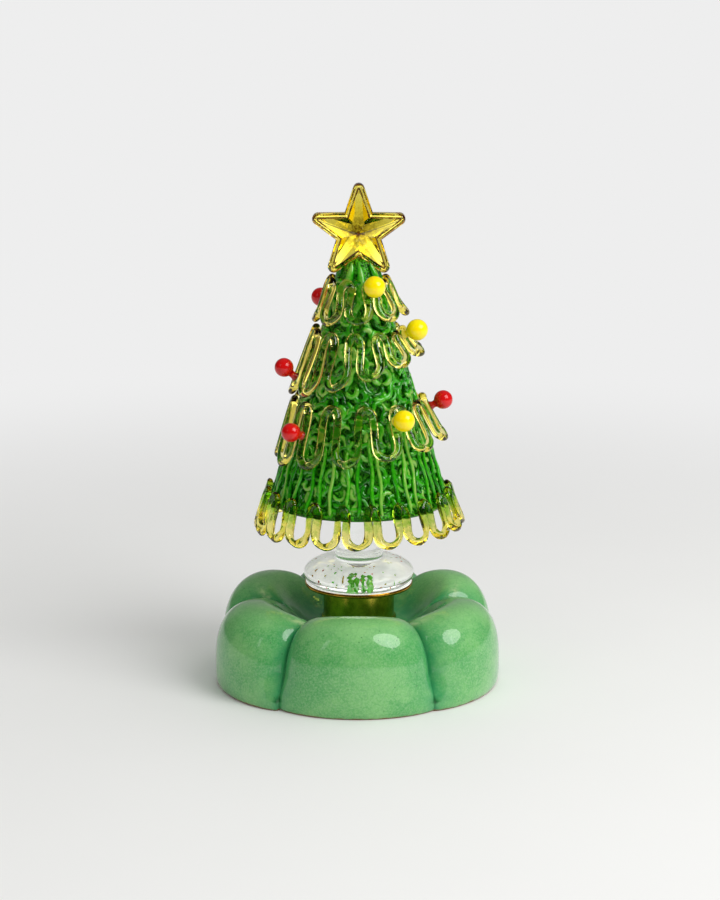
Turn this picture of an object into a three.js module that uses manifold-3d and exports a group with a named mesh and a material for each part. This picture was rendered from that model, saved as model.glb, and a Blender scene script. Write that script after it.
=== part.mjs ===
// A glass Christmas tree that spins by hand on a ball bearing in a lobed ceramic base.
// Millimetres, +Z up. The origin is the centre of the base's underside, on the spin axis.
// -Y is the front, the side that the star faces.
import * as THREE from "three";
import { mergeVertices } from "three/addons/utils/BufferGeometryUtils.js";
import Module from "manifold-3d";

const wasm = await Module();
wasm.setup();

const { cos, sin, PI, abs, min, max } = Math;
const radians = THREE.MathUtils.degToRad;
const v2 = (x, y) => new THREE.Vector2(x, y);
const v3 = (x, y, z) => new THREE.Vector3(x, y, z);

// Gaps
const seatGap = 0.3; // between fused or seated pieces of glass
const fitGap = 0.05; // radial, between pieces pressed or glued into each other
const threadGap = 0.05; // radial, between a screw and the bore that it threads into
const runningGap = 0.5; // between what turns and what stands still
const edgeBreak = 0.3; // the small bevel that takes the edge off turned metal
const roundSegments = 32; // facets round each large turned piece
const smallSegments = 24; // and round each small one

// Ceramic base: six lobes round a sunken platform, hollow below. A lobe's belly is where it is
// widest, its crest where it is highest, and its tuck is how far the foot draws in below the belly.
// The halfAngles add up to 180 degrees.
const lobes = {
  leftFront: { halfAngle: 29.5, bellyRadius: 39.4, crestHeight: 22.8 },
  front: { halfAngle: 34, bellyRadius: 37.8, crestHeight: 24.2 },
  rightFront: { halfAngle: 32, bellyRadius: 38.4, crestHeight: 22.8 },
  rightRear: { halfAngle: 23, bellyRadius: 38.6, crestHeight: 24.2 },
  rear: { halfAngle: 37, bellyRadius: 38, crestHeight: 23.8 },
  leftRear: { halfAngle: 24.5, bellyRadius: 39.2, crestHeight: 24.2 },
};
const lobeProfile = {
  crestRadius: 27.5,
  bellyHeight: 8,
  tuck: 0.8,
  squareness: 2.45, // of the shoulder from crest to belly, where 2 is round
};
const valley = {
  crestRadius: 22,
  crestHeight: 18.9,
  bellyRadius: 32.6,
  bellyHeight: 3.2,
  tuck: 0,
  squareness: 2.3,
};
const cavity = { crestRadius: 20.5, crestHeight: 16.2, footRadius: 29 };
const firstValley = 176; // azimuth in degrees, before the left front lobe
const lobeSegments = 8;
const lobeSquareness = 2; // in plan
const platformRadius = 12;
const platformHeight = 14;
const platformThickness = 3.5;
const mountHoleRadius = 3.8;

// Bearing, 5 x 16 x 5 mm, with a crown cage
const boreRadius = 2.5;
const bearingRadius = 8;
const bearingWidth = 5;
const ballRadius = 1.389;
const ballCount = 7;
const pitchRadius = (boreRadius + bearingRadius) / 2;
const raceGap = 0.12; // play round each ball
const innerShoulderRadius = pitchRadius - 0.85;
const outerShoulderRadius = pitchRadius + 0.85;
const shieldThickness = 0.3;
const shieldInset = 0.1;
const shieldRadius = outerShoulderRadius + 0.45;
const cageHalfWidth = 0.6; // radial
const cageSkirt = 0.4; // how far the cage reaches below the balls' centres
const cageRim = 0.45; // how far it reaches past the pockets above them

// Brass housing that shows as the collar, and what clamps it to the ceramic
const collarRadius = 9.3;
const beadRadius = 9.9;
const beadHeight = 2.2;
const gasketThickness = 0.6;
const gasketRadius = 9.4;
const housingFloor = 1.8;
const housingLip = 0.5; // above the bearing
const ledgeRadius = 7;
const spigotRadius = 3.5;
const spigotLength = 3.2;
const clampScrew = { radius: 2, headRadius: 3.6, headHeight: 2.4, keyDepth: 1.4 };
const clampPad = { radius: 8, thickness: 1 };
const clampWasher = { radius: 7, thickness: 0.8 };

// Spindle, and what keeps it in the bearing
const spindleShoulder = 3.5;
const spindleScrew = { radius: 1.25, headRadius: 2.2, headHeight: 1.1, keyDepth: 0.5, length: 4 };
const spindleWasher = { radius: 3.3, thickness: 0.4 };
const screwRoom = 0.6; // between the spindle screw and the housing's floor
const keyShare = 0.42; // of a screw head's radius that its key socket takes

// Brass turntable, glass foot and stem
const turntableRadius = 14.2;
const turntableThickness = 1.4;
const turntableDish = 1.2; // how far in from the rim its underside is flat
const footOverhang = 0.3; // of the glass past the turntable's rim
const footRadius = turntableRadius + footOverhang;
const footTuck = 1.7; // how far the glass draws in from there to its flat underside
const footHeight = 6.2;
const stemRadius = 6.3;
const stemFilletRadius = 6.9;
const stemTopRadius = 4.6;
const visibleStem = 16.3; // from the foot up to the hem of the tree

// Hollow glass tree in four tiers, fluted outside
const hemRadius = 23.1;
const treeSlope = 0.294; // radius lost per mm of height
const treeHeight = 63.2; // hem to apex
const tierHeights = [13.2, 15.8, 16]; // skirt, middle and upper tier; the top takes the rest
const treeWall = 2;
const apexRadius = 3;
const apexRounding = 4.6; // height of the rounded apex
const fluteCount = 20;
const fluteDepth = 0.6;

// Loops of clear yellow rod that hang round the tree, each garland one closed length of rod.
// Heights are of the rod's middle above the hem, halfWidth is a loop's, and phase is the azimuth of
// a loop in degrees. legShare is where the top of a leg stands, from 0 at the loop's middle to 1
// half way to the next loop. flare is how far the loops' ends stand out from the tree. lean raises
// those ends on the +X side, and swing pushes them out there.
const rodRadius = 1.05;
const rodSides = 6;
const archHeight = 1.9; // of the bends between loops
const garlands = {
  garland_top: {
    count: 8,
    phase: -90,
    legShare: 0.55,
    halfWidth: 3.1,
    topHeight: 57.5,
    bottomHeight: 48.2,
    flare: 1.2,
    lean: 0.8,
    swing: 0.7,
  },
  garland_upper: {
    count: 11,
    phase: -78.5,
    legShare: 0.55,
    halfWidth: 3,
    topHeight: 44.5,
    bottomHeight: 34,
    flare: 2.3,
    lean: 5.3,
    swing: 1,
  },
  garland_lower: {
    count: 12,
    phase: -69,
    legShare: 0.6,
    halfWidth: 3.2,
    topHeight: 26.6,
    bottomHeight: 14,
    flare: 1,
    lean: 3,
    swing: 1.8,
  },
  hem_loops: {
    count: 20,
    phase: -90.8,
    legShare: 0.71,
    halfWidth: 3,
    topHeight: 3,
    bottomHeight: -6.5,
    flare: 0.2,
    lean: 0.7,
    swing: 0.3,
  },
};

// Glass balls, each on a loop of a garland. along runs from 0 to 1 down one leg of the loop and up
// the other. rise tips the ball up from square to the tree's side, in degrees.
const ornamentRadii = { yellow: 2.75, red: 2.45 };
const ornamentNeckRadius = 1.15;
const ornamentNeck = 0.7;
const ornaments = {
  yellow_ball_crown: { garland: "garland_top", loop: 0, along: 0.95, rise: -10 },
  yellow_ball_right: { garland: "garland_upper", loop: 2, along: 0.1, rise: 5 },
  red_ball_left: { garland: "garland_upper", loop: 8, along: 0.7, rise: 25 },
  red_ball_right: { garland: "garland_lower", loop: 2, along: 0.85, rise: 10 },
  yellow_ball_front: { garland: "garland_lower", loop: 0, along: 0.85, rise: -5 },
  red_ball_front: { garland: "garland_lower", loop: 10, along: 0.2, rise: 5 },
  red_ball_crown: { garland: "garland_top", loop: 5, along: 0.5, rise: 35 },
  red_ball_rear: { garland: "garland_top", loop: 4, along: 0.5, rise: 10 },
  yellow_ball_rear: { garland: "garland_upper", loop: 5, along: 0.2, rise: 5 },
  red_ball_rear_right: { garland: "garland_lower", loop: 4, along: 0.5, rise: 20 },
  yellow_ball_rear_left: { garland: "garland_lower", loop: 7, along: 0.2, rise: 5 },
};

// Star on the apex
const starPoints = 5;
const starRadius = 12.4;
const starNotchRadius = 6.1;
const starTipRadius = 1.5;
const starRim = 1.7; // half of the thickness at the outline
const starCrown = 4; // half of the thickness at the centre

// Heights, worked out from the sizes above
const gasketTop = platformHeight + gasketThickness;
const housingFloorTop = gasketTop + housingFloor;
const bearingBottom = housingFloorTop + screwRoom + spindleScrew.headHeight + spindleWasher.thickness;
const bearingTop = bearingBottom + bearingWidth;
const bearingMiddle = bearingBottom + bearingWidth / 2;
const housingTop = bearingTop + housingLip;
const turntableBottom = housingTop + runningGap;
const turntableTop = turntableBottom + turntableThickness;
const footTop = turntableTop + footHeight;
const hemHeight = footTop + visibleStem;
const treeTopBottom = hemHeight + tierHeights[0] + tierHeights[1] + tierHeights[2];
const apexHeight = hemHeight + treeHeight;
const starCentre = apexHeight + seatGap + starNotchRadius;

// Colours as the glass, glaze and metal show them
const finish = (color, roughness, metalness, opacity = 1) =>
  new THREE.MeshStandardMaterial({
    color,
    roughness,
    metalness,
    opacity,
    transparent: opacity < 1,
  });
const finishes = {
  celadon: finish("#5fb37a", 0.12, 0),
  brass: finish("#b8923a", 0.25, 1),
  steel: finish("#b9bcc0", 0.3, 1),
  rubber: finish("#2b2b2c", 0.9, 0),
  clearGlass: finish("#eef6f2", 0.02, 0, 0.35),
  greenGlass: finish("#12952a", 0.05, 0, 0.75),
  yellowGlass: finish("#f2dc7a", 0.03, 0, 0.55),
  starGlass: finish("#f0bd1e", 0.04, 0, 0.75),
  redBead: finish("#c8080c", 0.08, 0),
  yellowBead: finish("#ffe600", 0.1, 0),
};

const part = new THREE.Group();

function add(name, geometry, material) {
  const mesh = new THREE.Mesh(geometry, material);
  mesh.name = name;
  part.add(mesh);
  return mesh;
}

// Solids that are cut or joined

function solid(geometry) {
  const bare = new THREE.BufferGeometry();
  bare.setAttribute("position", geometry.getAttribute("position"));
  bare.setIndex(geometry.index);
  const merged = mergeVertices(bare, 1e-3);
  return new wasm.Manifold(
    new wasm.Mesh({
      numProp: 3,
      vertProperties: new Float32Array(merged.attributes.position.array),
      triVerts: new Uint32Array(merged.index.array),
    }),
  );
}

function geometryOf(manifold) {
  const mesh = manifold.getMesh();
  const geometry = new THREE.BufferGeometry();
  geometry.setAttribute("position", new THREE.BufferAttribute(mesh.vertProperties, 3));
  geometry.setIndex(new THREE.BufferAttribute(mesh.triVerts, 1));
  return geometry;
}

// A solid turned about Z from a closed outline of [radius, height] points, in either direction.
function turned(outline, segments = roundSegments) {
  const points = outline.map(([r, z]) => v2(r, z));
  if (THREE.ShapeUtils.area(points) < 0) points.reverse();
  const open = points[0].x === 0 && points[points.length - 1].x === 0;
  if (!open) points.push(points[0].clone());
  return new THREE.LatheGeometry(points, segments).rotateX(PI / 2);
}

const ring = (inner, outer, bottom, top) =>
  turned([[inner, bottom], [outer, bottom], [outer, top], [inner, top]], smallSegments);

// A closed skin over a grid of points. Each row is joined to the next, and the last row to the
// first, or both to the faces of a cap where there is one.
function skin(rows, cap) {
  const columns = rows[0].length;
  const positions = rows.flat().flatMap((p) => [p.x, p.y, p.z]);
  const index = [];
  if (cap) {
    const last = (rows.length - 1) * columns;
    for (const [a, b, c] of cap) index.push(a, b, c, last + a, last + c, last + b);
  }
  rows.slice(0, cap ? -1 : rows.length).forEach((row, i) => {
    const next = (i + 1) % rows.length;
    row.forEach((point, j) => {
      const a = i * columns + j;
      const b = i * columns + ((j + 1) % columns);
      const c = next * columns + j;
      const d = next * columns + ((j + 1) % columns);
      index.push(a, c, b, b, c, d);
    });
  });
  const geometry = new THREE.BufferGeometry();
  geometry.setAttribute("position", new THREE.Float32BufferAttribute(positions, 3));
  geometry.setIndex(index);
  return geometry;
}

// Points from start to end, both left out, on a quarter of a superellipse that leaves start
// along the radius and reaches end along the axis.
function shoulder(start, end, squareness, steps) {
  return Array.from({ length: steps - 1 }, (_, i) => {
    const turn = ((i + 1) / steps) * (PI / 2);
    return [
      start[0] + (end[0] - start[0]) * sin(turn) ** (2 / squareness),
      end[1] + (start[1] - end[1]) * cos(turn) ** (2 / squareness),
    ];
  });
}

// Points from start to end, both left out, on a slope that is level at both ends.
function easedSlope(start, end, steps) {
  return Array.from({ length: steps - 1 }, (_, i) => {
    const share = (i + 1) / steps;
    const ease = (1 - cos(PI * share)) / 2;
    return [start[0] + (end[0] - start[0]) * share, start[1] + (end[1] - start[1]) * ease];
  });
}

// The ceramic's section at a bulge from 0, in a valley between lobes, to 1, on a lobe's middle.
function ceramicSection(bulge, lobe) {
  const widest = { ...valley, ...lobeProfile, ...lobe };
  const mix = (key) => valley[key] + (widest[key] - valley[key]) * bulge;
  const platformEdge = [platformRadius, platformHeight];
  const crest = [mix("crestRadius"), mix("crestHeight")];
  const belly = [mix("bellyRadius"), mix("bellyHeight")];
  const ground = [belly[0] - mix("tuck"), 0];
  const tuckMiddle = [belly[0] - mix("tuck") * 0.3, belly[1] * 0.4];
  const underside = platformHeight - platformThickness;
  const footInside = [cavity.footRadius, 0];
  const cavityCrest = [cavity.crestRadius, cavity.crestHeight];
  const cavityFloor = [platformRadius + 1, underside];
  return [
    [mountHoleRadius, underside],
    cavityFloor,
    ...easedSlope(cavityFloor, cavityCrest, 2),
    cavityCrest,
    ...shoulder(cavityCrest, footInside, valley.squareness, 4),
    footInside,
    ground,
    tuckMiddle,
    belly,
    ...shoulder(crest, belly, mix("squareness"), 6).reverse(),
    crest,
    ...easedSlope(crest, platformEdge, 4),
    platformEdge,
    [mountHoleRadius, platformHeight],
  ];
}

// Half of the ceramic: three lobes from an azimuth on, closed by a flat face in the valley at each
// end, where it meets the other half.
function ceramicHalf(name, halfLobes, start) {
  const rows = [];
  const addRow = (degrees, bulge, lobe) => {
    const turn = radians(degrees);
    rows.push(ceramicSection(bulge, lobe).map(([r, z]) => v3(r * cos(turn), r * sin(turn), z)));
  };
  let azimuth = start;
  for (const { halfAngle, ...lobe } of halfLobes) {
    for (let i = 0; i < lobeSegments; i++) {
      const across = -cos((PI * i) / lobeSegments);
      addRow(azimuth + halfAngle * (1 + across), (1 - abs(across) ** lobeSquareness) ** 0.5, lobe);
    }
    azimuth += 2 * halfAngle;
  }
  addRow(azimuth, 0, {});
  const cap = THREE.ShapeUtils.triangulateShape(
    ceramicSection(0, {}).map(([r, z]) => v2(r, z)),
    [],
  );
  add(name, skin(rows, cap), finishes.celadon);
  return azimuth;
}

function ceramicBase() {
  const all = Object.values(lobes);
  const middle = ceramicHalf("ceramic_base_front", all.slice(0, 3), firstValley - 360);
  ceramicHalf("ceramic_base_rear", all.slice(3), middle);
}

function housing() {
  const spigotBottom = gasketTop - spigotLength;
  const bead = gasketTop + beadHeight;
  const bore = clampScrew.radius + threadGap;
  const seat = bearingRadius + fitGap;
  const outline = [
    [bore, spigotBottom],
    [spigotRadius, spigotBottom],
    [spigotRadius, gasketTop],
    [beadRadius, gasketTop],
    [beadRadius, bead - edgeBreak],
    [beadRadius - edgeBreak, bead],
    [collarRadius, bead],
    [collarRadius, housingTop - edgeBreak],
    [collarRadius - edgeBreak, housingTop],
    [seat, housingTop],
    [seat, bearingBottom],
    [ledgeRadius, bearingBottom],
    [ledgeRadius, housingFloorTop],
    [bore, housingFloorTop],
  ];
  add("bearing_housing", turned(outline), finishes.brass);
  const hole = spigotRadius + seatGap;
  add("housing_gasket", ring(hole, gasketRadius, platformHeight, gasketTop), finishes.rubber);
}

// A socket-head screw that points up, seated at the height seat, with its tip at top.
function screw(name, { radius, headRadius, headHeight, keyDepth }, seat, top) {
  const head = seat - headHeight;
  const key = headRadius * keyShare;
  const outline = [
    [0, head + keyDepth],
    [key, head + keyDepth],
    [key, head],
    [headRadius - edgeBreak, head],
    [headRadius, head + edgeBreak],
    [headRadius, seat],
    [radius, seat],
    [radius, top - edgeBreak],
    [radius - edgeBreak, top],
    [0, top],
  ];
  add(name, turned(outline, smallSegments / 2), finishes.steel);
}

function clamp() {
  const underside = platformHeight - platformThickness;
  const hole = clampScrew.radius + seatGap;
  const padBottom = underside - clampPad.thickness;
  const washerBottom = padBottom - clampWasher.thickness;
  add("clamp_pad", ring(hole, clampPad.radius, padBottom, underside), finishes.rubber);
  add("clamp_washer", ring(hole, clampWasher.radius, washerBottom, padBottom), finishes.steel);
  screw("clamp_screw", clampScrew, washerBottom, housingFloorTop);
}

// Points of a ball groove from low to high, on the side of the pitch circle that side gives.
function groove(side, shoulderRadius) {
  const radius = ballRadius + raceGap;
  const reach = Math.acos(abs(shoulderRadius - pitchRadius) / radius);
  return [-1, -0.5, 0, 0.5, 1].map((share) => [
    pitchRadius + side * radius * cos(share * reach),
    bearingMiddle + radius * sin(share * reach),
  ]);
}

function bearing() {
  const shieldTop = bearingTop - shieldInset;
  const shieldBottom = bearingBottom + shieldInset;
  const pocket = ballRadius + raceGap;
  const step = shieldInset + shieldThickness + fitGap;
  const rebate = shieldRadius + fitGap;
  const outer = [
    [bearingRadius, bearingBottom],
    [bearingRadius, bearingTop],
    [rebate, bearingTop],
    [rebate, bearingTop - step],
    [outerShoulderRadius, bearingTop - step],
    ...groove(1, outerShoulderRadius).reverse(),
    [outerShoulderRadius, bearingBottom + step],
    [rebate, bearingBottom + step],
    [rebate, bearingBottom],
  ];
  const bore = boreRadius + fitGap;
  const inner = [
    [bore, bearingBottom],
    [innerShoulderRadius, bearingBottom],
    ...groove(-1, innerShoulderRadius),
    [innerShoulderRadius, bearingTop],
    [bore, bearingTop],
  ];
  add("bearing_outer_race", turned(outer, smallSegments), finishes.steel);
  add("bearing_inner_race", turned(inner, smallSegments), finishes.steel);
  const shieldInner = innerShoulderRadius + 0.2;
  add(
    "bearing_shield_upper",
    ring(shieldInner, shieldRadius, shieldTop - shieldThickness, shieldTop),
    finishes.steel,
  );
  add(
    "bearing_shield_lower",
    ring(shieldInner, shieldRadius, shieldBottom, shieldBottom + shieldThickness),
    finishes.steel,
  );
  const cageTop = min(pocket + cageRim, bearingWidth / 2 - step - 0.05);
  let cage = solid(
    ring(
      pitchRadius - cageHalfWidth,
      pitchRadius + cageHalfWidth,
      bearingMiddle - cageSkirt,
      bearingMiddle + cageTop,
    ),
  );
  for (let i = 0; i < ballCount; i++) {
    const turn = (2 * PI * i) / ballCount;
    const centre = v3(pitchRadius * cos(turn), pitchRadius * sin(turn), bearingMiddle);
    const cutter = new THREE.SphereGeometry(pocket, 8, 6).translate(centre.x, centre.y, centre.z);
    cage = cage.subtract(solid(cutter));
    const ball = add(`bearing_ball_${i + 1}`, new THREE.SphereGeometry(ballRadius, 8, 6), finishes.steel);
    ball.position.copy(centre);
  }
  add("bearing_cage", geometryOf(cage), finishes.brass);
}

function spindle() {
  const tap = spindleScrew.radius + threadGap;
  const tapTop = bearingBottom + spindleScrew.length + 0.5;
  const outline = [
    [tap, bearingBottom],
    [boreRadius, bearingBottom],
    [boreRadius, bearingTop],
    [spindleShoulder, bearingTop],
    [spindleShoulder, turntableBottom],
    [boreRadius, turntableBottom],
    [boreRadius, turntableTop],
    [0, turntableTop],
    [0, tapTop],
    [tap, tapTop],
  ];
  add("spindle", turned(outline, smallSegments), finishes.steel);
  const washerBottom = bearingBottom - spindleWasher.thickness;
  const hole = spindleScrew.radius + fitGap;
  add("spindle_washer", ring(hole, spindleWasher.radius, washerBottom, bearingBottom), finishes.steel);
  screw("spindle_screw", spindleScrew, washerBottom, bearingBottom + spindleScrew.length);
}

function turntable() {
  const bore = boreRadius + fitGap;
  const outline = [
    [bore, turntableBottom],
    [turntableRadius - turntableDish, turntableBottom],
    [turntableRadius - turntableDish * 0.2, turntableBottom + turntableThickness * 0.25],
    [turntableRadius, turntableBottom + turntableThickness * 0.6],
    [turntableRadius - edgeBreak / 2, turntableTop],
    [bore, turntableTop],
  ];
  add("turntable_disc", turned(outline), finishes.brass);
}

function footAndStem() {
  const belly = [footRadius, turntableTop + footHeight * 0.4];
  const neck = [stemFilletRadius, footTop];
  const outline = [
    [0, turntableTop],
    [footRadius - footTuck, turntableTop],
    [footRadius - footTuck * 0.3, turntableTop + footHeight * 0.15],
    belly,
    ...shoulder(neck, belly, 2, 5).reverse(),
    neck,
    [0, footTop],
  ];
  add("glass_foot", turned(outline), finishes.clearGlass);
  const stem = [
    [0, footTop],
    [stemRadius, footTop],
    [stemRadius, hemHeight],
    [stemTopRadius, treeTopBottom - seatGap],
    [0, treeTopBottom - seatGap],
  ];
  add("glass_stem", turned(stem), finishes.clearGlass);
}

// Radius of the tree's flute ridges at a height above the hem.
const treeRadius = (above) => hemRadius - treeSlope * above;

// One hollow tier, from bottom to top above the hem.
function tier(name, bottom, top) {
  const columns = fluteCount * 2;
  const heights = [bottom, (bottom + top) / 2, top];
  const rows = Array.from({ length: columns }, (_, i) => {
    const turn = (2 * PI * i) / columns;
    const flute = i % 2 ? fluteDepth : 0;
    const at = (r, above) => v3(r * cos(turn), r * sin(turn), hemHeight + above);
    return [
      ...heights.map((above) => at(treeRadius(above) - flute, above)),
      ...heights.map((above) => at(treeRadius(above) - treeWall, above)).reverse(),
    ];
  });
  add(name, skin(rows).toNonIndexed(), finishes.greenGlass);
}

// The five-pointed star in the XZ plane, grown by margin all over.
function starGeometry(margin) {
  const outline = [];
  for (let i = 0; i < starPoints; i++) {
    const tip = PI / 2 + (2 * PI * i) / starPoints;
    const notch = tip + PI / starPoints;
    const tipCentre = starRadius - starTipRadius;
    for (const swing of [-0.9, 0, 0.9]) {
      const reach = starTipRadius + margin;
      outline.push(
        v2(
          tipCentre * cos(tip) + reach * cos(tip + swing),
          tipCentre * sin(tip) + reach * sin(tip + swing),
        ),
      );
    }
    const notchRadius = starNotchRadius + margin;
    outline.push(v2(notchRadius * cos(notch), notchRadius * sin(notch)));
  }
  const positions = [0, -starCrown - margin, starCentre, 0, starCrown + margin, starCentre];
  for (const side of [-1, 1]) {
    for (const p of outline) positions.push(p.x, side * (starRim + margin), starCentre + p.y);
  }
  const count = outline.length;
  const index = [];
  for (let i = 0; i < count; i++) {
    const [front, frontNext] = [2 + i, 2 + ((i + 1) % count)];
    const [rear, rearNext] = [front + count, frontNext + count];
    index.push(0, front, frontNext, 1, rearNext, rear, front, rear, frontNext, rear, rearNext, frontNext);
  }
  const geometry = new THREE.BufferGeometry();
  geometry.setAttribute("position", new THREE.Float32BufferAttribute(positions, 3));
  geometry.setIndex(index);
  return geometry;
}

function treeTop() {
  const bottom = treeTopBottom - hemHeight;
  const rounding = treeHeight - apexRounding;
  const outline = [
    [0, treeTopBottom],
    [treeRadius(bottom), treeTopBottom],
    [treeRadius((bottom + rounding) / 2), hemHeight + (bottom + rounding) / 2],
    [treeRadius(rounding), hemHeight + rounding],
    [apexRadius + 1, apexHeight - apexRounding * 0.35],
    [apexRadius, apexHeight - apexRounding * 0.15],
    [apexRadius * 0.6, apexHeight],
    [0, apexHeight],
  ];
  const cone = solid(turned(outline));
  add("tree_top", geometryOf(cone.subtract(solid(starGeometry(seatGap)))), finishes.greenGlass);
  add("star_topper", starGeometry(0), finishes.starGlass);
}

function tree() {
  const tops = tierHeights.map((_, i) => tierHeights.slice(0, i + 1).reduce((a, b) => a + b));
  tier("tree_skirt", 0, tops[0] - seatGap);
  tier("tree_middle", tops[0], tops[1] - seatGap);
  tier("tree_upper", tops[1], tops[2] - seatGap);
  treeTop();
}

// A point on the middle of a garland's rod, at an angle from a loop's middle and a height that
// fall measures from 0 at the garland's top to 1 at its bottom.
function rodPoint(garland, loop, angle, fall) {
  const { count, phase, topHeight, bottomHeight, flare, lean, swing } = garland;
  const turn = radians(phase + (360 * loop) / count) + angle;
  const above = topHeight + (bottomHeight - topHeight + lean * cos(turn)) * fall;
  const standOut = max(0, flare + swing * cos(turn)) * fall ** 2;
  const radius = treeRadius(above) + seatGap + rodRadius + standOut;
  return v3(radius * cos(turn), radius * sin(turn), hemHeight + above);
}

// One loop's points: half of the bend before it, down a leg, round the end and up the other leg.
function loopPoints(garland, loop) {
  const { count, topHeight, bottomHeight, halfWidth, legShare, flare } = garland;
  const halfPitch = PI / count;
  const drop = topHeight - bottomHeight;
  const endAngle = halfWidth / (treeRadius(bottomHeight) + seatGap + rodRadius + flare);
  const legTop = legShare * halfPitch;
  const archFall = archHeight / drop;
  const ends = [-90, -45, 0, 45, 90].map((turn) => [
    endAngle * sin(radians(turn)),
    1 - (halfWidth * (1 - cos(radians(turn)))) / drop,
  ]);
  const steps = [[-halfPitch, 0], [-legTop, archFall], ...ends, [legTop, archFall]];
  return steps.map(([angle, fall]) => rodPoint(garland, loop, angle, fall));
}

function garlandOf(name, garland) {
  const points = Array.from({ length: garland.count }, (_, loop) => loopPoints(garland, loop)).flat();
  const rows = points.map((point, i) => {
    const before = points[(i + points.length - 1) % points.length];
    const after = points[(i + 1) % points.length];
    const along = after.clone().sub(point).normalize().add(point.clone().sub(before).normalize());
    along.normalize();
    const outward = v3(point.x, point.y, 0).normalize();
    outward.addScaledVector(along, -outward.dot(along)).normalize();
    const across = outward.clone().cross(along);
    return Array.from({ length: rodSides }, (_, side) => {
      const turn = (2 * PI * side) / rodSides;
      const corner = point.clone().addScaledVector(outward, rodRadius * cos(turn));
      return corner.addScaledVector(across, rodRadius * sin(turn));
    });
  });
  add(name, skin(rows), finishes.yellowGlass);
}

// A point along a loop, from 0 at the bend before it to 1 at the bend after it, and the way that
// the rod runs there.
function seatOn(garland, loop, along) {
  const points = [...loopPoints(garland, loop), loopPoints(garland, loop + 1)[0]];
  const place = along * (points.length - 1);
  const i = min(Math.floor(place), points.length - 2);
  const way = points[i + 1].clone().sub(points[i]);
  return { seat: points[i].clone().addScaledVector(way, place - i), way: way.normalize() };
}

// A ball with a short neck. The neck's foot stands off the rod that carries it, by more where the
// neck slants along the rod.
function ornament(name, { garland, loop, along, rise }) {
  const { seat, way } = seatOn(garlands[garland], loop, along);
  const azimuth = Math.atan2(seat.y, seat.x);
  const tilt = Math.atan(treeSlope) + radians(rise);
  const out = v3(cos(tilt) * cos(azimuth), cos(tilt) * sin(azimuth), sin(tilt));
  const slant = abs(out.dot(way));
  const standOff = (rodRadius + seatGap + slant * ornamentNeckRadius) / (1 - slant ** 2) ** 0.5;
  const colour = name.split("_")[0];
  const radius = ornamentRadii[colour];
  const start = Math.asin(ornamentNeckRadius / radius) - PI / 2;
  const steps = 5;
  const arc = Array.from({ length: steps }, (_, i) => {
    const turn = start + ((PI / 2 - start) * i) / steps;
    return [radius * cos(turn), radius * sin(turn)];
  });
  const foot = -radius - ornamentNeck;
  const outline = [[0, foot], [ornamentNeckRadius, foot], ...arc, [0, radius]];
  const ball = add(name, turned(outline, 8), finishes[`${colour}Bead`]);
  ball.quaternion.setFromUnitVectors(v3(0, 0, 1), out);
  ball.position.copy(seat).addScaledVector(out, standOff - foot);
}

ceramicBase();
housing();
clamp();
bearing();
spindle();
turntable();
footAndStem();
tree();
for (const [name, garland] of Object.entries(garlands)) garlandOf(name, garland);
for (const [name, place] of Object.entries(ornaments)) ornament(name, place);

export default part;
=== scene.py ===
# A spinning glass Christmas tree on a lobed celadon base, dressed over its CAD frame.
# Metres, +Z up. The star faces -Y. Sizes are written in millimetres, as in the solid model, and
# turned to metres as each mesh is made.
import math

from typing import NamedTuple

import bpy
import numpy as np
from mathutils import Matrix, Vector


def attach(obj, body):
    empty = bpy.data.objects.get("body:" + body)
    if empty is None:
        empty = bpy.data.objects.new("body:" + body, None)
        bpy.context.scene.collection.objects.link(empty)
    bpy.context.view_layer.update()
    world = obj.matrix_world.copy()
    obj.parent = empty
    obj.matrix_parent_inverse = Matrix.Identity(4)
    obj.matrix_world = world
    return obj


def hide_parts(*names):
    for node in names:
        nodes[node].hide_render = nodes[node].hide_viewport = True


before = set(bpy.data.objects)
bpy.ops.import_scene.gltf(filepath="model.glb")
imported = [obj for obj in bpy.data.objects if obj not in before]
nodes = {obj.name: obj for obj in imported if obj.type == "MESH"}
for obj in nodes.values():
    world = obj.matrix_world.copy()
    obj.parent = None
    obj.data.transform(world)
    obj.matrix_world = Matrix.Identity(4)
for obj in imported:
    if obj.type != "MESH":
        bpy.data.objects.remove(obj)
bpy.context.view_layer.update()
MM = 0.001
rng = np.random.default_rng(24)

# Heights and radii of the solid model
SEAT_GAP = 0.3  # between fused pieces of glass
BORE_RADIUS = 2.55  # of what sits on the spindle
PLATFORM_HEIGHT = 14
PLATFORM_RADIUS = 12
GASKET_TOP = PLATFORM_HEIGHT + 0.6
HOUSING_FLOOR = GASKET_TOP + 1.8
BEARING_BOTTOM = 18.5
HOUSING_TOP = BEARING_BOTTOM + 5.5
TURNTABLE_BOTTOM = HOUSING_TOP + 0.5
TURNTABLE_TOP = TURNTABLE_BOTTOM + 1.4
TURNTABLE_RADIUS = 14.2
FOOT_TOP = TURNTABLE_TOP + 6.2
FOOT_RADIUS = 14.5
STEM_RADIUS = 6.3
HEM = FOOT_TOP + 16.3
HEM_RADIUS = 23.1
TREE_HEIGHT = 63.2
TREE_SLOPE = 0.294  # radius lost per millimetre of height
TREE_WALL = 2
ROD_RADIUS = 1.05
STAR_NOTCH = 6.1
STAR_CENTRE = HEM + TREE_HEIGHT + SEAT_GAP + STAR_NOTCH


def tree_radius(above):
    """The radius of the tree's outside at a height above its hem."""
    return HEM_RADIUS - TREE_SLOPE * above


def ramped(value, start, end):
    """0 up to start and 1 from end on, even between them."""
    return max(0.0, min(1.0, (value - start) / (end - start)))


def bell(value, middle, width):
    """1 at the middle, falling away to both sides."""
    return math.exp(-(((value - middle) / width) ** 2))


# Finishes


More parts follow.
